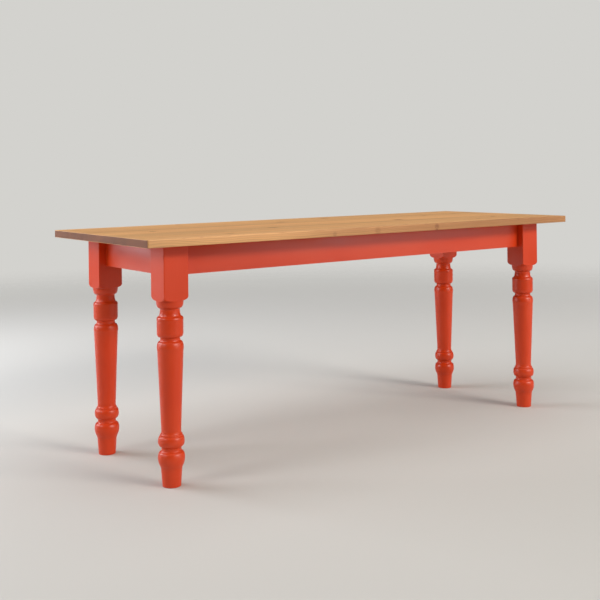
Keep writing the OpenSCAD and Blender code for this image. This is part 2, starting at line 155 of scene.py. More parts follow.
def pine(name, pale, dark, heart, lean, ring, shade, knots, seed, finish, streaks=()):
    """Solid pine with its own heart line, so that faces, edges and ends agree.

    heart is a point on the line that the growth rings lie around, lean is how that line turns
    from the board's length, ring is the rings' spacing and shade the tone of this board. Each
    knot is a centre and three radii, and each streak has a strength too. finish gives roughness,
    fibre depth and the tone of the ends.
    """
    material, tree, shader = new_material(name)
    roughness, relief, end_shade = finish
    place = add(tree, "ShaderNodeTexCoord")
    at = place.outputs["Object"]

    # The heart wanders slowly along the tree, and the rings ripple over a few centimetres
    slow = add(tree, "ShaderNodeMapping", {"Vector": at, "Location": (seed, seed, 0),
                                           "Scale": (0.9, 0.7, 0.7)})
    wander = add(tree, "ShaderNodeTexNoise", {"Vector": slow, "Scale": 1.6, "Detail": 2.0})
    wander = add(tree, "ShaderNodeVectorMath", {0: wander.outputs["Color"], 1: (0.5, 0.5, 0.5)},
                 operation="SUBTRACT")
    wander = add(tree, "ShaderNodeVectorMath", {0: wander, 1: HEART_WANDER}, operation="MULTIPLY")
    quick = add(tree, "ShaderNodeMapping", {"Vector": at, "Location": (0, seed, seed),
                                            "Scale": (5, 22, 22)})
    ripple = add(tree, "ShaderNodeTexNoise", {"Vector": quick, "Scale": 1.0, "Detail": 3.0})
    centred = add(tree, "ShaderNodeMapping", {"Vector": at, "Location": heart, "Rotation": lean},
                  vector_type="TEXTURE")
    around = add(tree, "ShaderNodeVectorMath", {0: centred, 1: wander}, operation="ADD")
    around = add(tree, "ShaderNodeVectorMath", {0: around, 1: (0, 1, 1)}, operation="MULTIPLY")
    depth = add(tree, "ShaderNodeVectorMath", {0: around}, operation="LENGTH").outputs["Value"]
    depth = add(tree, "ShaderNodeMath", {0: ripple, 1: RIPPLE, 2: depth}, operation="MULTIPLY_ADD")

    # Knots: distance from the nearest one, in its own radii, with an uneven rim
    nearest = None
    for centre, radii in knots:
        away = add(tree, "ShaderNodeVectorMath", {0: at, 1: centre}, operation="SUBTRACT")
        away = add(tree, "ShaderNodeVectorMath", {0: away, 1: radii}, operation="DIVIDE")
        away = add(tree, "ShaderNodeVectorMath", {0: away}, operation="LENGTH").outputs["Value"]
        if nearest:
            away = add(tree, "ShaderNodeMath", {0: nearest, 1: away}, operation="MINIMUM")
        nearest = away
    rim_noise = add(tree, "ShaderNodeTexNoise", {"Vector": at, "Scale": 160.0, "Detail": 2.0})
    nearest = add(tree, "ShaderNodeMath", {0: rim_noise, 1: 0.35, 2: nearest},
                  operation="MULTIPLY_ADD")
    swirl = add(tree, "ShaderNodeMapRange", {"Value": nearest, "From Min": 0.9, "From Max": 3.2,
                                             "To Min": 1.0, "To Max": 0.0},
                interpolation_type="SMOOTHERSTEP")
    depth = add(tree, "ShaderNodeMath", {0: swirl, 1: KNOT_SWIRL * ring, 2: depth},
                operation="MULTIPLY_ADD")

    # Each ring goes slowly from pale early wood to a dark late line, then drops back
    turns = add(tree, "ShaderNodeMath", {0: depth, 1: ring}, operation="DIVIDE")
    across = add(tree, "ShaderNodeMath", {0: turns}, operation="FRACT")
    late = add(tree, "ShaderNodeValToRGB", {"Fac": across},
               stops=[(0.0, "#2a2a2a"), (0.08, "#000000"), (0.45, "#3c3c3c"), (0.8, "#b4b4b4"),
                      (0.92, "#ffffff"), (1.0, "#2a2a2a")])
    year = add(tree, "ShaderNodeMath", {0: turns}, operation="FLOOR")
    weight = add(tree, "ShaderNodeTexWhiteNoise", {"W": year}, noise_dimensions="1D")
    weight = add(tree, "ShaderNodeMapRange", {"Value": weight.outputs["Value"], "To Min": 0.45,
                                              "To Max": 0.95})
    late = add(tree, "ShaderNodeMath", {0: late, 1: weight.outputs[0]}, operation="MULTIPLY")

    # Fibres, drawn coarser than real ones so that they show: down to a quarter of a millimetre
    thin = add(tree, "ShaderNodeMapping", {"Vector": at, "Location": (seed, 0, 0),
                                           "Scale": FIBRE_SCALE})
    fibre = add(tree, "ShaderNodeTexNoise", {"Vector": thin, "Scale": 1.0, "Detail": 3.0,
                                             "Roughness": 0.6})
    broad = add(tree, "ShaderNodeMapping", {"Vector": at, "Location": (0, seed, 0),
                                            "Scale": STREAK_SCALE})
    streak = add(tree, "ShaderNodeTexNoise", {"Vector": broad, "Scale": 1.0, "Detail": 3.0})

    blend = add(tree, "ShaderNodeMath", {0: fibre, 1: 0.34, 2: -0.17}, operation="MULTIPLY_ADD")
    blend = add(tree, "ShaderNodeMath", {0: late, 1: 0.62, 2: blend}, operation="MULTIPLY_ADD",
                use_clamp=True)
    colour = add(tree, "ShaderNodeMix", {"Factor": blend, 6: linear(pale), 7: linear(dark)},
                 data_type="RGBA").outputs[2]
    tone = add(tree, "ShaderNodeMapRange", {"Value": streak, "From Min": 0.3, "From Max": 0.7,
                                            "To Min": shade * 0.86, "To Max": shade * 1.1})
    colour = add(tree, "ShaderNodeVectorMath", {0: colour, "Scale": tone}, operation="SCALE")

    # Brown, resinous streaks: each has a centre, three radii and a strength
    for centre, radii, strength in streaks:
        away = add(tree, "ShaderNodeVectorMath", {0: at, 1: centre}, operation="SUBTRACT")
        away = add(tree, "ShaderNodeVectorMath", {0: away, 1: radii}, operation="DIVIDE")
        away = add(tree, "ShaderNodeVectorMath", {0: away}, operation="LENGTH").outputs["Value"]
        away = add(tree, "ShaderNodeMath", {0: streak, 1: 0.8, 2: away}, operation="MULTIPLY_ADD")
        brown = add(tree, "ShaderNodeMapRange", {"Value": away, "From Min": 0.8, "From Max": 1.7,
                                                 "To Min": strength, "To Max": 0.0},
                    interpolation_type="SMOOTHSTEP")
        colour = add(tree, "ShaderNodeMix", {"Factor": brown, 6: colour, 7: linear(RESIN)},
                     data_type="RGBA", blend_type="MULTIPLY").outputs[2]

    # The wood warms around a knot, which is red brown with fine rings and a dark rim
    halo = add(tree, "ShaderNodeMapRange", {"Value": nearest, "From Min": 1.0, "From Max": 2.4,
                                            "To Min": 0.55, "To Max": 0.0},
               interpolation_type="SMOOTHSTEP")
    colour = add(tree, "ShaderNodeMix", {"Factor": halo, 6: colour, 7: linear(KNOT_HALO)},
                 data_type="RGBA").outputs[2]
    knot_turns = add(tree, "ShaderNodeMath", {0: nearest, 1: 4.0}, operation="MULTIPLY")
    knot_turns = add(tree, "ShaderNodeMath", {0: knot_turns, 1: 1.0}, operation="PINGPONG")
    knot_wood = add(tree, "ShaderNodeValToRGB", {"Fac": knot_turns},
                    stops=[(0.0, KNOT_DARK), (1.0, KNOT_PALE)])
    half = add(tree, "ShaderNodeMath", {0: nearest, 1: 0.5}, operation="MULTIPLY")
    rim = add(tree, "ShaderNodeValToRGB", {"Fac": half},
              stops=[(0.0, "#ffffff"), (0.44, "#ffffff"), (0.56, "#000000")])
    bark = add(tree, "ShaderNodeValToRGB", {"Fac": half},
               stops=[(0.42, "#000000"), (0.5, "#b0b0b0"), (0.56, "#000000")])
    colour = add(tree, "ShaderNodeMix", {"Factor": rim, 6: colour, 7: knot_wood},
                 data_type="RGBA").outputs[2]
    colour = add(tree, "ShaderNodeMix", {"Factor": bark, 6: colour, 7: linear(KNOT_BARK)},
                 data_type="RGBA").outputs[2]

    # Ends drink more oil and dust, so they are duller
    facing = add(tree, "ShaderNodeSeparateXYZ", {0: place.outputs["Normal"]})
    end = add(tree, "ShaderNodeMath", {0: facing}, operation="ABSOLUTE")
    end = add(tree, "ShaderNodeMapRange", {"Value": end, "From Min": 0.75, "From Max": 0.95},
              interpolation_type="SMOOTHSTEP")
    colour = add(tree, "ShaderNodeMix", {"Factor": end, 6: colour, 7: linear(end_shade)},
                 data_type="RGBA", blend_type="MULTIPLY").outputs[2]
    tree.links.new(colour, shader.inputs["Base Color"])

    rough = add(tree, "ShaderNodeMath", {0: fibre, 1: 0.16, 2: roughness - 0.08},
                operation="MULTIPLY_ADD")
    rough = add(tree, "ShaderNodeMath", {0: end, 1: 0.2, 2: rough}, operation="MULTIPLY_ADD")
    tree.links.new(rough.outputs[0], shader.inputs["Roughness"])
    shader.inputs["IOR"].default_value = 1.47
    height = add(tree, "ShaderNodeMath", {0: late, 1: 0.6, 2: fibre}, operation="MULTIPLY_ADD")
    bump = add(tree, "ShaderNodeBump", {"Height": height, "Strength": 0.5, "Distance": relief})
    tree.links.new(bump.outputs[0], shader.inputs["Normal"])
    return material


# Oiled solid pine, planed and sanded: honey coloured with a low sheen and lengthwise figure
OILED = (0.48, 0.12 * MM, "#8e6f5e")
OILED_PALE, OILED_DARK = "#dba56b", "#9f6032"
THROUGH = 0.3    # a knot's radius through the board: more than its thickness
TOP_BOARDS = {
    "board_1": dict(
        heart=(0, -0.29, 0.715), lean=(0, 0.02, 0.012), ring=4.2 * MM, shade=1.0, seed=2.0,
        knots=[((0.223, -0.352, 0.757), (6 * MM, 30 * MM, 5 * MM)),
               ((-0.61, -0.262, 0.77), (13 * MM, 8 * MM, THROUGH)),
               ((0.55, -0.243, 0.77), (9 * MM, 8 * MM, THROUGH))],
        streaks=[((0.45, -0.37, 0.765), (1.1, 40 * MM, 60 * MM), 0.9),
                 ((-0.06, -0.352, 0.765), (14 * MM, 12 * MM, 16 * MM), 0.5),
                 ((-0.25, -0.352, 0.763), (9 * MM, 9 * MM, 9 * MM), 0.55),
                 ((0.223, -0.352, 0.765), (11 * MM, 12 * MM, 16 * MM), 0.9)]),
    "board_2": dict(
        heart=(0, -0.15, 0.70), lean=(0, -0.015, 0.02), ring=3.6 * MM, shade=0.93, seed=7.0,
        knots=[((-0.34, -0.11, 0.77), (24 * MM, 12 * MM, THROUGH)),
               ((0.71, -0.17, 0.77), (12 * MM, 10 * MM, THROUGH)),
               ((0.09, -0.19, 0.77), (5 * MM, 4 * MM, THROUGH))],
        streaks=[((0.3, -0.10, 0.77), (0.5, 14 * MM, 60 * MM), 0.45)]),
    "board_3": dict(
        heart=(0, 0.03, 0.73), lean=(0, 0.01, -0.018), ring=4.6 * MM, shade=1.04, seed=13.0,
        knots=[((-0.74, 0.02, 0.77), (12 * MM, 11 * MM, THROUGH)),
               ((0.31, -0.04, 0.77), (21 * MM, 16 * MM, THROUGH))]),
    "board_4": dict(
        heart=(0, 0.11, 0.69), lean=(0, -0.02, -0.01), ring=3.4 * MM, shade=0.95, seed=19.0,
        knots=[((-0.12, 0.16, 0.77), (22 * MM, 11 * MM, THROUGH)),
               ((0.58, 0.10, 0.77), (11 * MM, 9 * MM, THROUGH)),
               ((0.83, 0.18, 0.77), (9 * MM, 7 * MM, THROUGH))],
        streaks=[((-0.6, 0.12, 0.77), (0.6, 18 * MM, 60 * MM), 0.4)]),
    "board_5": dict(
        heart=(0, 0.30, 0.71), lean=(0, 0.016, 0.014), ring=4.0 * MM, shade=1.01, seed=29.0,
        knots=[((-0.49, 0.30, 0.77), (9 * MM, 7 * MM, THROUGH)),
               ((0.17, 0.26, 0.77), (16 * MM, 13 * MM, THROUGH))]),
}
for name, grain in TOP_BOARDS.items():
    dress(name, pine("oiled_pine_" + name, OILED_PALE, OILED_DARK, finish=OILED, **grain))

# Bare sawn pine inside the base: paler, dry and a little hairy
SAWN = (0.72, 0.3 * MM, "#b9a894")
SAWN_PALE, SAWN_DARK = "#dcc096", "#b98d5a"
bare_pine = pine("bare_sawn_pine", SAWN_PALE, SAWN_DARK, heart=(0.0, 0.33, 0.5),
                 lean=(0.0, 0.3, 0.2), ring=3.0 * MM, shade=0.95, seed=4.0, finish=SAWN,
                 knots=[((0.4, 0.4, 0.4), (5 * MM, 5 * MM, 5 * MM))])


# ---------- Paint ----------

PAINT_ROUGHNESS = (0.30, 0.42)
BRUSH_RELIEF = 0.15 * MM


def satin_paint(name, stretch, gloss):
    """Brushed satin paint: stretch is how much finer a brush mark is along each axis."""
    material, tree, shader = new_material(name)
    at = add(tree, "ShaderNodeTexCoord").outputs["Object"]
    cloud = add(tree, "ShaderNodeTexNoise", {"Vector": at, "Scale": 5.0, "Detail": 3.0})
    marks_at = add(tree, "ShaderNodeMapping", {"Vector": at, "Scale": stretch})
    marks = add(tree, "ShaderNodeTexNoise", {"Vector": marks_at, "Scale": 1.0, "Detail": 3.0,
                                             "Roughness": 0.55})
    thick = add(tree, "ShaderNodeMath", {0: marks, 1: 0.35, 2: cloud}, operation="MULTIPLY_ADD")
    colour = add(tree, "ShaderNodeValToRGB", {"Fac": thick},
                 stops=[(0.35, PAINT_THIN), (0.62, PAINT), (0.9, PAINT_THICK)])
    tree.links.new(colour.outputs[0], shader.inputs["Base Color"])
    rough = add(tree, "ShaderNodeMapRange", {"Value": cloud, "From Min": 0.3, "From Max": 0.7,
                                             "To Min": PAINT_ROUGHNESS[0],
                                             "To Max": PAINT_ROUGHNESS[1]})
    tree.links.new(rough.outputs[0], shader.inputs["Roughness"])
    shader.inputs["IOR"].default_value = 1.5
    shader.inputs["Specular IOR Level"].default_value = gloss
    peel = add(tree, "ShaderNodeTexNoise", {"Vector": at, "Scale": 260.0, "Detail": 1.0})
    height = add(tree, "ShaderNodeMath", {0: peel, 1: 0.25, 2: marks}, operation="MULTIPLY_ADD")
    bump = add(tree, "ShaderNodeBump", {"Height": height, "Strength": 0.35,
                                        "Distance": BRUSH_RELIEF})
    tree.links.new(bump.outputs[0], shader.inputs["Normal"])
    return material


# Satin oil paint on wood, brushed lengthwise: even orange red with a soft gloss
PAINT_THIN = "#c83506"
PAINT = "#cd3908"
PAINT_THICK = "#d13e0c"
ALONG, ACROSS = 6, 420    # brush marks to a metre, along and across the stroke
LEG_GLOSS, APRON_GLOSS = 0.42, 0.75
paint_up = satin_paint("satin_orange_red_paint_on_legs", (ACROSS, ACROSS, ALONG), LEG_GLOSS)
paint_x = satin_paint("satin_orange_red_paint_on_side_aprons", (ALONG, ACROSS, ACROSS), APRON_GLOSS)
paint_y = satin_paint("satin_orange_red_paint_on_end_aprons", (ACROSS, ALONG, ACROSS), APRON_GLOSS)


# ---------- Steel ----------

# Bright zinc plate on steel fasteners: cool grey, finely uneven
zinc, tree, shader = new_material("zinc_plated_steel")
at = add(tree, "ShaderNodeTexCoord").outputs["Object"]
bloom = add(tree, "ShaderNodeTexNoise", {"Vector": at, "Scale": 350.0, "Detail": 3.0})
tint = add(tree, "ShaderNodeValToRGB", {"Fac": bloom}, stops=[(0.3, "#aeb4ba"), (0.7, "#cfd0cc")])
tree.links.new(tint.outputs[0], shader.inputs["Base Color"])
rough = add(tree, "ShaderNodeMapRange", {"Value": bloom, "To Min": 0.22, "To Max": 0.5})
tree.links.new(rough.outputs[0], shader.inputs["Roughness"])
shader.inputs["Metallic"].default_value = 1.0


# ---------- Turned pieces ----------

OUTLINE_TOLERANCE = 0.012    # millimetres


def soft_outline(cuts, step, passes):
    """Turns a turner's cuts into outline points, with corners as soft as paint leaves them.

    Each cut is a radius, a height and how it is reached: straight, by a quarter round that ends
    or starts upright, or by a shallow curve that does. All are in millimetres.
    """
    curves = {
        "straight": lambda t: (t, t),
        "ends upright": lambda t: (math.sin(t * math.pi / 2), 1 - math.cos(t * math.pi / 2)),
        "starts upright": lambda t: (1 - math.cos(t * math.pi / 2), math.sin(t * math.pi / 2)),
        "shallow, ends upright": lambda t: (1 - (1 - t) ** 2, t),
        "shallow, starts upright": lambda t: (t * t, t),
    }
    points = [Vector(cuts[0][:2])]
    for radius, height, how in cuts[1:]:
        start, end = points[-1].copy(), Vector((radius, height))
        count = max(1, math.ceil((end - start).length / step))
        for i in range(1, count + 1):
            across, up = curves[how](i / count)
            points.append(Vector((start.x + (end.x - start.x) * across,
                                  start.y + (end.y - start.y) * up)))
    for _ in range(passes):
        inner = [(a + 2 * b + c) / 4 for a, b, c in zip(points, points[1:], points[2:])]
        points = [points[0]] + inner + [points[-1]]
    return thinned(points, OUTLINE_TOLERANCE)


def thinned(points, tolerance):
    """Drops points that lie on the line between their neighbours."""
    kept = {0, len(points) - 1}
    todo = [(0, len(points) - 1)]
    while todo:
        first, last = todo.pop()
        along = points[last] - points[first]
        worst, place = 0.0, None
        for i in range(first + 1, last):
            away = points[i] - points[first]
            miss = away.length
            if along.length:
                miss = abs(along.x * away.y - along.y * away.x) / along.length
            if miss > worst:
                worst, place = miss, i
        if place is not None and worst > tolerance:
            kept.add(place)
            todo += [(first, place), (place, last)]
    return [points[i] for i in sorted(kept)]


TURNED_SIZES = [
    ("Sides", "Float", 4.0), ("Half Width", "Float", 1.0), ("Arris", "Float", 0.001),
    ("Steps", "Int", 96), ("Softness", "Float", 0.0002), ("Thread Pitch", "Float", 1.0),
    ("Thread Depth", "Float", 0.0), ("Thread Top", "Float", 0.0), ("Recess", "Float", 0.0),
    ("Recess Depth", "Float", 0.0), ("Places", "Object", None), ("Finish", "Material", None),
]
CROSS_BAR = 0.22     # thickness of a recess's bar, as a share of its width
SAME_POINT = 1e-6    # metres


def turned_tree():
    """Spins an outline, planes flat sides, cuts a thread or a cross, and sets it in place."""
    tree = bpy.data.node_groups.new("turned_pieces", "GeometryNodeTree")
    tree.interface.new_socket("Outline", in_out="INPUT", socket_type="NodeSocketGeometry")
    for label, kind, value in TURNED_SIZES:
        socket = tree.interface.new_socket(label, in_out="INPUT", socket_type="NodeSocket" + kind)
        if value is not None:
            socket.default_value = value
    tree.interface.new_socket("Pieces", in_out="OUTPUT", socket_type="NodeSocketGeometry")
    given = add(tree, "NodeGroupInput").outputs

    # A grid with a row for each outline point and a column for each step around
    points = add(tree, "GeometryNodeAttributeDomainSize", {"Geometry": given["Outline"]})
    columns = add(tree, "ShaderNodeMath", {0: given["Steps"], 1: 1.0}, operation="ADD")
    grid = add(tree, "GeometryNodeMeshGrid", {"Vertices X": points.outputs["Point Count"],
                                              "Vertices Y": columns})
    index = add(tree, "GeometryNodeInputIndex")
    rows = add(tree, "ShaderNodeMath", {0: index, 1: columns}, operation="DIVIDE")
    row = add(tree, "ShaderNodeMath", {0: rows}, operation="FLOOR")
    before = add(tree, "ShaderNodeMath", {0: row, 1: columns}, operation="MULTIPLY")
    column = add(tree, "ShaderNodeMath", {0: index, 1: before}, operation="SUBTRACT")
    sample = add(tree, "GeometryNodeSampleIndex", {"Geometry": given["Outline"], "Index": row},
                 data_type="FLOAT_VECTOR")
    tree.links.new(add(tree, "GeometryNodeInputPosition").outputs[0], sample.inputs["Value"])
    outline = add(tree, "ShaderNodeSeparateXYZ", {0: sample})
    radius, height = outline.outputs["X"], outline.outputs["Z"]

    # Steps crowd towards the corners between the flat sides
    along = add(tree, "ShaderNodeMath", {0: column, 1: given["Sides"]}, operation="MULTIPLY")
    along = add(tree, "ShaderNodeMath", {0: along, 1: given["Steps"]}, operation="DIVIDE")
    side = add(tree, "ShaderNodeMath", {0: along}, operation="FLOOR")
    part = add(tree, "ShaderNodeMath", {0: along}, operation="FRACT")
    part = add(tree, "ShaderNodeMath", {0: part, 1: math.pi, 2: -math.pi / 2},
               operation="MULTIPLY_ADD")
    part = add(tree, "ShaderNodeMath", {0: part}, operation="SINE")
    half_turn = add(tree, "ShaderNodeMath", {0: math.pi, 1: given["Sides"]}, operation="DIVIDE")
    off = add(tree, "ShaderNodeMath", {0: part, 1: half_turn}, operation="MULTIPLY")
    whole = add(tree, "ShaderNodeMath", {0: side, 1: half_turn}, operation="MULTIPLY")
    angle = add(tree, "ShaderNodeMath", {0: whole, 1: 2.0, 2: off}, operation="MULTIPLY_ADD")

    # How far out the planed section is at that angle, with its arrises rounded
    cosine = add(tree, "ShaderNodeMath", {0: off}, operation="COSINE")
    flat = add(tree, "ShaderNodeMath", {0: given["Half Width"], 1: cosine}, operation="DIVIDE")
    inset = add(tree, "ShaderNodeMath", {0: given["Half Width"], 1: given["Arris"]},
                operation="SUBTRACT")
    cosine = add(tree, "ShaderNodeMath", {0: half_turn}, operation="COSINE")
    centre = add(tree, "ShaderNodeMath", {0: inset, 1: cosine}, operation="DIVIDE")
    off_size = add(tree, "ShaderNodeMath", {0: off}, operation="ABSOLUTE")
    from_corner = add(tree, "ShaderNodeMath", {0: half_turn, 1: off_size}, operation="SUBTRACT")
    sine = add(tree, "ShaderNodeMath", {0: from_corner}, operation="SINE")
    aside = add(tree, "ShaderNodeMath", {0: centre, 1: sine}, operation="MULTIPLY")
    aside = add(tree, "ShaderNodeMath", {0: aside, 1: aside}, operation="MULTIPLY")
    cosine = add(tree, "ShaderNodeMath", {0: from_corner}, operation="COSINE")
    ahead = add(tree, "ShaderNodeMath", {0: centre, 1: cosine}, operation="MULTIPLY")
    room = add(tree, "ShaderNodeMath", {0: given["Arris"], 1: given["Arris"]},
               operation="MULTIPLY")
    room = add(tree, "ShaderNodeMath", {0: room, 1: aside}, operation="SUBTRACT")
    room = add(tree, "ShaderNodeMath", {0: room, 1: 0.0}, operation="MAXIMUM")
    room = add(tree, "ShaderNodeMath", {0: room}, operation="SQRT")
    rounded = add(tree, "ShaderNodeMath", {0: ahead, 1: room}, operation="ADD")
    sine = add(tree, "ShaderNodeMath", {0: half_turn}, operation="SINE")
    reach = add(tree, "ShaderNodeMath", {0: centre, 1: sine}, operation="MULTIPLY")
    limit = add(tree, "ShaderNodeMath", {0: reach, 1: given["Half Width"]}, operation="ARCTAN2")
    in_corner = add(tree, "ShaderNodeMath", {0: off_size, 1: limit}, operation="GREATER_THAN")
    section = add(tree, "ShaderNodeMix", {"Factor": in_corner, 2: flat, 3: rounded},
                  data_type="FLOAT")

    # A thread winds up one pitch in a turn
    climb = add(tree, "ShaderNodeMath", {0: height, 1: given["Thread Pitch"]}, operation="DIVIDE")
    wound = add(tree, "ShaderNodeMath", {0: angle, 1: 0.5 / math.pi, 2: climb},
                operation="MULTIPLY_ADD")
    groove = add(tree, "ShaderNodeMath", {0: wound, 1: 0.5}, operation="PINGPONG")
    threaded = add(tree, "ShaderNodeMath", {0: height, 1: given["Thread Top"]},
                   operation="LESS_THAN")
    groove = add(tree, "ShaderNodeMath", {0: groove, 1: threaded}, operation="MULTIPLY")
    groove = add(tree, "ShaderNodeMath", {0: groove, 1: given["Thread Depth"]},
                 operation="MULTIPLY")
    groove = add(tree, "ShaderNodeMath", {0: groove, 1: 2.0}, operation="MULTIPLY")
    cut = add(tree, "ShaderNodeMath", {0: radius, 1: groove}, operation="SUBTRACT")
    cut = add(tree, "ShaderNodeMath", {0: cut, 1: 0.0}, operation="MAXIMUM")
    out = add(tree, "ShaderNodeMath", {0: cut, 1: section.outputs[0], 2: given["Softness"]},
              operation="SMOOTH_MIN")
    out = add(tree, "ShaderNodeMath", {0: out, 1: cut}, operation="MINIMUM")
    out = add(tree, "ShaderNodeMath", {0: out, 1: 0.0}, operation="MAXIMUM")
    cosine = add(tree, "ShaderNodeMath", {0: angle}, operation="COSINE")
    sine = add(tree, "ShaderNodeMath", {0: angle}, operation="SINE")
    x = add(tree, "ShaderNodeMath", {0: out, 1: cosine}, operation="MULTIPLY")
    y = add(tree, "ShaderNodeMath", {0: out, 1: sine}, operation="MULTIPLY")
    point = add(tree, "ShaderNodeCombineXYZ", {0: x, 1: y, 2: height})
    spun = add(tree, "GeometryNodeSetPosition", {"Geometry": grid, "Position": point})
    closed = add(tree, "GeometryNodeMergeByDistance", {"Geometry": spun, "Distance": SAME_POINT})
    outward = add(tree, "GeometryNodeFlipFaces", {"Mesh": closed})

    # A cross recess, cut from the end at the lowest height
    recessed = add(tree, "GeometryNodeMeshBoolean", {"Mesh 1": outward}, operation="DIFFERENCE",
                   solver="EXACT")
    low = add(tree, "GeometryNodeAttributeStatistic", {"Geometry": given["Outline"]},
              data_type="FLOAT_VECTOR")
    tree.links.new(add(tree, "GeometryNodeInputPosition").outputs[0], low.inputs["Attribute"])
    lowest = next(s for s in low.outputs if s.name == "Min" and s.enabled)
    thick = add(tree, "ShaderNodeMath", {0: given["Recess"], 1: CROSS_BAR}, operation="MULTIPLY")
    tall = add(tree, "ShaderNodeMath", {0: given["Recess Depth"], 1: 2.0}, operation="MULTIPLY")
    for sizes in ({0: given["Recess"], 1: thick, 2: tall}, {0: thick, 1: given["Recess"], 2: tall}):
        bar = add(tree, "GeometryNodeMeshCube", {"Size": add(tree, "ShaderNodeCombineXYZ", sizes)})
        bar = add(tree, "GeometryNodeSetPosition", {"Geometry": bar, "Offset": lowest})
        tree.links.new(bar.outputs[0], recessed.inputs["Mesh 2"])
    has_cross = add(tree, "FunctionNodeCompare", {0: given["Recess"], 1: 0.0},
                    operation="GREATER_THAN")
    made = add(tree, "GeometryNodeSwitch", {"Switch": has_cross, "False": outward,
                                            "True": recessed}, input_type="GEOMETRY")

    # Each place has a point and a heading for the piece's axis
    places = add(tree, "GeometryNodeObjectInfo", {"Object": given["Places"]}).outputs["Geometry"]
    heading = add(tree, "GeometryNodeInputNamedAttribute", {"Name": "heading"},
                  data_type="FLOAT_VECTOR")
    turn = add(tree, "FunctionNodeAlignRotationToVector", {"Vector": heading}, axis="Z")
    several = add(tree, "GeometryNodeInstanceOnPoints",
                  {"Points": places, "Instance": made, "Rotation": turn})
    real = add(tree, "GeometryNodeRealizeInstances", {"Geometry": several})
    smooth = add(tree, "GeometryNodeSetShadeSmooth", {"Geometry": real})
    finished = add(tree, "GeometryNodeSetMaterial",
                   {"Geometry": smooth, "Material": given["Finish"]})
    add(tree, "NodeGroupOutput", {0: finished})
    return tree


turning = turned_tree()
SLIVER = 0.001 * MM


def turn_pieces(name, outline, places, **sizes):
    """Makes one piece of every copy: outline points in millimetres, and (point, heading) places."""
    host = new_object(name + "_outline", [(r * MM, 0, z * MM) for r, z in outline])
    spots = new_object(name + "_places", [point for point, _ in places])
    headings = spots.data.attributes.new("heading", "FLOAT_VECTOR", "POINT")
    for item, (_, heading) in zip(headings.data, places):
        item.vector = heading
    modifier = host.modifiers.new("turned", "NODES")
    modifier.node_group = turning
    sizes = {label.replace("_", " ").title(): value for label, value in sizes.items()}
    sizes["Places"] = spots
    for socket in turning.interface.items_tree:
        if socket.in_out == "INPUT" and socket.name in sizes:
            modifier[socket.identifier] = sizes[socket.name]
    seen = host.evaluated_get(bpy.context.evaluated_depsgraph_get())
    mesh = bpy.data.meshes.new_from_object(seen)
    mesh.name = name

    # The boolean leaves faces without area, which go
    form = bmesh.new()
    form.from_mesh(mesh)
    bmesh.ops.triangulate(form, faces=[face for face in form.faces if len(face.verts) > 4])
    bmesh.ops.dissolve_degenerate(form, dist=SLIVER, edges=form.edges)
    form.to_mesh(mesh)
    form.free()

    piece = bpy.data.objects.new(name, mesh)
    bpy.context.scene.collection.objects.link(piece)
    for helper in (host, spots):
        data = helper.data
        bpy.data.objects.remove(helper)
        bpy.data.meshes.remove(data)
    return piece


# The leg's cuts from the floor up, in millimetres: radius, height and how the cut is made
leg_low, leg_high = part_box("leg_front_left")
half_square = (leg_high[0] - leg_low[0]) / 2
base_height = leg_high[2]
LEG_CUTS = [
    # foot
    (0, 0, "straight"), (27.5, 0, "straight"), (29, 2, "ends upright"), (32.5, 50, "straight"),
    # ball
    (37.3, 67.7, "shallow, starts upright"), (42.1, 90.1, "shallow, ends upright"),
    (34, 109, "starts upright"),
    # neck
    (34, 110, "straight"), (31, 115.4, "ends upright"), (31, 118.6, "straight"),
    (34, 124, "starts upright"),
    # bead
    (34, 125, "straight"), (41.2, 141.5, "ends upright"), (35, 158, "starts upright"),
    # column, with a cove at its foot and a shoulder at its head
    (35, 163, "straight"), (34, 164, "straight"), (30.8, 175, "ends upright"),
    (40.4, 416, "straight"), (41.8, 430.4, "shallow, starts upright"),
    (35, 452, "starts upright"),
    # neck
    (34, 453, "straight"), (31, 460.4, "ends upright"), (31, 464, "straight"),
    (33, 465, "straight"),
    # barrel
    (34, 466, "straight"), (41.3, 478, "ends upright"), (41.3, 512, "straight"),
    (41.8, 520, "shallow, starts upright"), (37.8, 529, "starts upright"),
    (36.8, 530, "straight"), (31, 550, "ends upright"),
    # collar
    (31, 552, "straight"), (34, 556, "starts upright"), (35, 557, "straight"),
    (42.5, 577, "ends upright"),
    # square block, whose corners are rounded over
    (42.8, 580, "straight"), (60.8, 597, "ends upright"), (61.8, 600, "straight"),
    (61.8, base_height / MM, "straight"), (0, base_height / MM, "straight"),
]
LEG_STEP, LEG_PASSES = 0.5, 4
leg_outline = soft_outline(LEG_CUTS, LEG_STEP, LEG_PASSES)
LEG_ARRIS = 2.0 * MM
UP = (0, 0, 1)
for corner, _, _ in CORNERS:
    low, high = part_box("leg_" + corner)
    axis = ((low[0] + high[0]) / 2, (low[1] + high[1]) / 2, 0)
    leg = turn_pieces("turned_leg_" + corner, leg_outline, [(axis, UP)], sides=4.0,
                      half_width=half_square, arris=LEG_ARRIS, steps=112, softness=0.6 * MM,
                      finish=paint_up)
    settle(leg, "painted_base", "leg_" + corner)


# ---------- Fasteners ----------

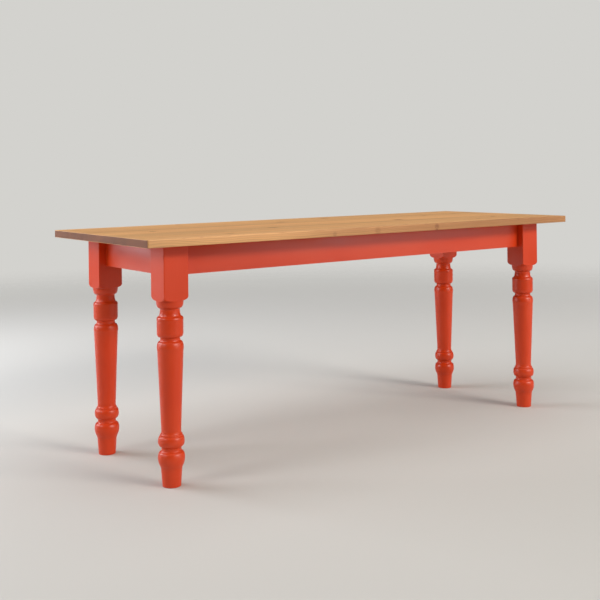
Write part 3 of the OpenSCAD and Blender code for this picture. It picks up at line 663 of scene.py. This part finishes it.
# Sizes without MM are in millimetres, apart from the half width of ROUND: its flat sides lie a
# metre out, so nothing is planed off.
ROUND = dict(sides=6.0, half_width=1.0)
SCREW_HEAD, SCREW_SHANK, HEAD_HEIGHT = 4.0, 2.0, 2.4
HEAD_FLAT, HEAD_RIM = 1.6, 0.5
SCREW_TAPER, SCREW_LENGTH = 21, 25
CROSS, CROSS_DEPTH = 4.6, 1.3
BRACE_SEAT = 10 * MM    # wood left under the heads of the brace screws
SCREWS_TO_A_RAIL = 3
SCREW_CUTS = [(0, -HEAD_HEIGHT, "straight"), (HEAD_FLAT, -HEAD_HEIGHT, "straight"),
              (SCREW_HEAD, -HEAD_RIM, "starts upright"), (SCREW_HEAD, 0, "straight"),
              (SCREW_SHANK, 0, "straight"), (SCREW_SHANK, SCREW_TAPER, "straight"),
              (0, SCREW_LENGTH, "straight")]


def corner_screws():
    """The places of the screws through the four corner braces."""
    places = []
    for corner, sx, sy in CORNERS:
        low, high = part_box("brace_screws_" + corner)
        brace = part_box("brace_" + corner)
        apron_x = max(abs(brace[0][0]), abs(brace[1][0]))
        apron_y = max(abs(brace[0][1]), abs(brace[1][1]))
        reach_x = min(abs(low[0]), abs(high[0])) + SCREW_HEAD * MM
        reach_y = min(abs(low[1]), abs(high[1])) + SCREW_HEAD * MM
        for z in (low[2] + SCREW_HEAD * MM, high[2] - SCREW_HEAD * MM):
            places.append(((sx * reach_x, sy * (apron_y - BRACE_SEAT), z), (0, sy, 0)))
            places.append(((sx * (apron_x - BRACE_SEAT), sy * reach_y, z), (sx, 0, 0)))
    return places


screw_nodes = [name for name in nodes if "screw" in name]
screw_places = corner_screws()
for name in screw_nodes:
    if name.startswith("brace"):
        continue
    low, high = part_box(name)
    x, seat = (low[0] + high[0]) / 2, low[2] + HEAD_HEIGHT * MM
    first, last = low[1] + SCREW_HEAD * MM, high[1] - SCREW_HEAD * MM
    count = SCREWS_TO_A_RAIL if name.startswith("rail") else 1
    for i in range(count):
        y = first + (last - first) * i / (count - 1) if count > 1 else (first + last) / 2
        screw_places.append(((x, y, seat), UP))
screws = turn_pieces("wood_screws", soft_outline(SCREW_CUTS, step=0.3, passes=1),
                     screw_places, **ROUND, steps=36, recess=CROSS * MM,
                     recess_depth=CROSS_DEPTH * MM, finish=zinc)
settle(screws, "zinc_steel", *screw_nodes)

# A hanger bolt points into the leg, and its thread stands through brace, washer and nut
BRACE_BACK = 31                         # the leg's inner corner to the brace's back
WASHER_HOLE, WASHER_RADIUS, WASHER_THICKNESS = 4.5, 11.0, 1.6
NUT_HOLE, NUT_FACE, NUT_CORNER, NUT_BEVEL, NUT_HEIGHT = 4.1, 6.2, 7.6, 0.9, 6.5
NUT_HALF_WIDTH = 6.5                    # half the width across a nut's flats
WASHER_OUT = BRACE_BACK + WASHER_THICKNESS
NUT_OUT = WASHER_OUT + NUT_HEIGHT
BOLT, BOLT_TIP, PITCH, THREAD_DEPTH = 4.0, 3.0, 1.25, 0.6
BOLT_END, BOLT_TAPER, BOLT_DEPTH = -44.1, 34, 40
BOLT_STEP, BOLT_STEPS = 0.12, 125
bolt_outline = [(0, BOLT_END), (BOLT_TIP, BOLT_END)]
bolt_outline += [(min(BOLT, BOLT_TIP + BOLT_STEP * i), BOLT_END + BOLT_STEP * i)
                 for i in range(1, BOLT_STEPS)]
bolt_outline += [(BOLT, BOLT_TAPER), (0, BOLT_DEPTH)]
WASHER_CUTS = [(WASHER_HOLE, 0.0, "straight"), (WASHER_RADIUS, 0.0, "straight"),
               (WASHER_RADIUS, WASHER_THICKNESS, "straight"),
               (WASHER_HOLE, WASHER_THICKNESS, "straight"), (WASHER_HOLE, 0.0, "straight")]
NUT_CUTS = [(NUT_HOLE, 0.0, "straight"), (NUT_FACE, 0.0, "straight"),
            (NUT_CORNER, NUT_BEVEL, "straight"), (NUT_CORNER, NUT_HEIGHT, "straight"),
            (NUT_HOLE, NUT_HEIGHT, "straight"), (NUT_HOLE, 0.0, "straight")]
inner_corners, washer_places, nut_places = [], [], []
for corner, sx, sy in CORNERS:
    low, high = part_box("leg_" + corner)
    brace_low, brace_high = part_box("brace_" + corner)
    inward = Vector((-sx, -sy, 0)).normalized()
    inner = Vector((min((low[0], high[0]), key=abs), min((low[1], high[1]), key=abs),
                    (brace_low[2] + brace_high[2]) / 2))
    inner_corners.append((inner, -inward))
    washer_places.append((inner + inward * WASHER_OUT * MM, -inward))
    nut_places.append((inner + inward * NUT_OUT * MM, -inward))
bolts = turn_pieces("hanger_bolts", bolt_outline, inner_corners, **ROUND, steps=48,
                    thread_pitch=PITCH * MM, thread_depth=THREAD_DEPTH * MM,
                    thread_top=-BRACE_BACK * MM, finish=zinc)
settle(bolts, "zinc_steel", *["hanger_bolt_" + corner[0] for corner in CORNERS])
washers = turn_pieces("washers", soft_outline(WASHER_CUTS, step=0.2, passes=1),
                      washer_places, **ROUND, steps=60, finish=zinc)
settle(washers, "zinc_steel", *["washer_" + corner[0] for corner in CORNERS])
nuts = turn_pieces("nuts", soft_outline(NUT_CUTS, step=0.2, passes=1), nut_places,
                   sides=6.0, half_width=NUT_HALF_WIDTH * MM, arris=0.3 * MM, steps=72,
                   softness=0.05 * MM, finish=zinc)
settle(nuts, "zinc_steel", *["nut_" + corner[0] for corner in CORNERS])


# ---------- Planed pieces ----------

PAINTED_ARRIS, BARE_ARRIS = 1.2 * MM, 0.8 * MM
BEVEL_FROM = 40    # degrees between two faces from which their edge is eased
WELD = 0.005 * MM
FLAT_WITHIN = 1    # degrees between two faces below which they become one


def eased(node, width, material, slot):
    """A copy of a CAD node with its arrises eased, as a plane or sandpaper leaves them."""
    source = nodes[node]
    mesh = source.data.copy()
    form = bmesh.new()
    form.from_mesh(mesh)
    bmesh.ops.remove_doubles(form, verts=form.verts, dist=WELD)
    bmesh.ops.dissolve_limit(form, angle_limit=math.radians(FLAT_WITHIN), verts=form.verts,
                             edges=form.edges)
    form.to_mesh(mesh)
    form.free()
    piece = bpy.data.objects.new("eased_" + node, mesh)
    bpy.context.scene.collection.objects.link(piece)
    mesh.materials.clear()
    mesh.materials.append(material)
    bevel = piece.modifiers.new("arrises", "BEVEL")
    bevel.width = width
    bevel.segments = 3
    bevel.limit_method = "ANGLE"
    bevel.angle_limit = math.radians(BEVEL_FROM)
    seen = piece.evaluated_get(bpy.context.evaluated_depsgraph_get())
    result = bpy.data.meshes.new_from_object(seen)
    piece.modifiers.clear()
    piece.data = result
    for polygon in result.polygons:
        polygon.use_smooth = True
    settle(piece, slot, node)


for side, material in (("front", paint_x), ("back", paint_x), ("left", paint_y),
                       ("right", paint_y)):
    eased("apron_" + side, PAINTED_ARRIS, material, "painted_base")
for name in nodes:
    if name.startswith(("rail_", "button_", "brace_")) and "screw" not in name:
        eased(name, BARE_ARRIS, bare_pine, "bare_wood")


# ---------- Floor and light ----------

FLOOR_REACH = 12
FADE_START, FADE_END = 2.6, 7.0    # the floor melts into the backdrop between these distances
FLOOR_NEAR, FLOOR_FAR_PAINTED_LIGHT = "#c6c4bf", "#f2f1ee"
BACKDROP = "#d3d2ce"
floor = new_object("floor", [(-FLOOR_REACH, -FLOOR_REACH, 0), (FLOOR_REACH, -FLOOR_REACH, 0),
                             (FLOOR_REACH, FLOOR_REACH, 0), (-FLOOR_REACH, FLOOR_REACH, 0)],
                   faces=[(0, 1, 2, 3)])
pale, tree, shader = new_material("pale_floor")
on_floor = add(tree, "ShaderNodeTexCoord").outputs["Object"]
# The floor's colour grows paler from near the table to far off. This is painted light: it stands in
# for the lamps' light, which does not reach the far floor, so that the floor meets the backdrop.
moved = add(tree, "ShaderNodeMapping", {"Vector": on_floor, "Location": (0.8, 1.5, 0)})
away = add(tree, "ShaderNodeVectorMath", {0: moved}, operation="LENGTH").outputs["Value"]
tone = add(tree, "ShaderNodeMapRange", {"Value": away, "From Min": 1.0, "From Max": 6.0},
           interpolation_type="SMOOTHSTEP")
colour = add(tree, "ShaderNodeMix", {"Factor": tone, 6: linear(FLOOR_NEAR), 7: linear(FLOOR_FAR_PAINTED_LIGHT)},
             data_type="RGBA").outputs[2]
tree.links.new(colour, shader.inputs["Base Color"])
shader.inputs["Roughness"].default_value = 0.75
far = add(tree, "ShaderNodeVectorMath", {0: on_floor}, operation="LENGTH").outputs["Value"]
fade = add(tree, "ShaderNodeMapRange", {"Value": far, "From Min": FADE_START, "From Max": FADE_END,
                                        "To Min": 1.0, "To Max": 0.0},
           interpolation_type="SMOOTHSTEP")
tree.links.new(fade.outputs[0], shader.inputs["Alpha"])
floor.data.materials.append(pale)

# The studio's ceiling is bright and its walls are dimmer
WALLS = 0.04
CEILING = 0.39
STUDIO_WHITE = "#f4f3f1"
world = bpy.data.worlds.new("studio")
world.use_nodes = True
bpy.context.scene.world = world
tree = world.node_tree
around = add(tree, "ShaderNodeTexCoord").outputs["Generated"]
direction = add(tree, "ShaderNodeSeparateXYZ", {0: around})
level = add(tree, "ShaderNodeMapRange", {"Value": direction.outputs["Z"], "From Min": 0.1,
                                         "From Max": 0.9, "To Min": WALLS, "To Max": CEILING},
            interpolation_type="SMOOTHSTEP")
backdrop = tree.nodes["Background"]
backdrop.inputs["Color"].default_value = linear(STUDIO_WHITE)
tree.links.new(level.outputs[0], backdrop.inputs["Strength"])
plain = add(tree, "ShaderNodeBackground", {"Color": linear(BACKDROP), "Strength": 1.0})
seen_directly = add(tree, "ShaderNodeLightPath").outputs["Is Camera Ray"]
both = add(tree, "ShaderNodeMixShader", {0: seen_directly, 1: backdrop, 2: plain})
tree.links.new(both.outputs[0], tree.nodes["World Output"].inputs["Surface"])


def soft_light(name, place, target, size, power, colour):
    """A soft rectangular light at place that faces target."""
    data = bpy.data.lights.new(name, "AREA")
    data.shape = "RECTANGLE"
    data.size, data.size_y = size
    data.energy = power
    data.color = linear(colour)[:3]
    light = bpy.data.objects.new(name, data)
    bpy.context.scene.collection.objects.link(light)
    facing = (Vector(target) - Vector(place)).to_track_quat("-Z", "Y")
    light.matrix_world = Matrix.Translation(place) @ facing.to_matrix().to_4x4()


# Name, place, target, size in metres, power in watts and colour
LIGHTS = [
    ("overhead", (0, -0.3, 3.4), (0, 0, 0), (3.6, 2.6), 36, "#ffffff"),
    ("high_window_left", (-8.0, 0, 4.2), (0, 0, 0.5), (2.6, 1.6), 165, "#ffffff"),
    ("window_behind_left", (-2.9, 2.6, 1.8), (0, 0, 0.5), (2.4, 2.2), 115, "#f4f8ff"),
    ("high_window_front", (3.0, -7.4, 4.2), (0, 0, 0.5), (3.4, 1.6), 468, "#fff9f2"),
    ("low_window_front", (4.0, -6.9, 1.6), (0, 0, 0.5), (3.4, 2.0), 40, "#ffffff"),
    ("window_right", (3.0, -2.5, 1.6), (0, 0, 0.5), (2.4, 2.0), 18, "#ffffff"),
]
for light in LIGHTS:
    soft_light(*light)
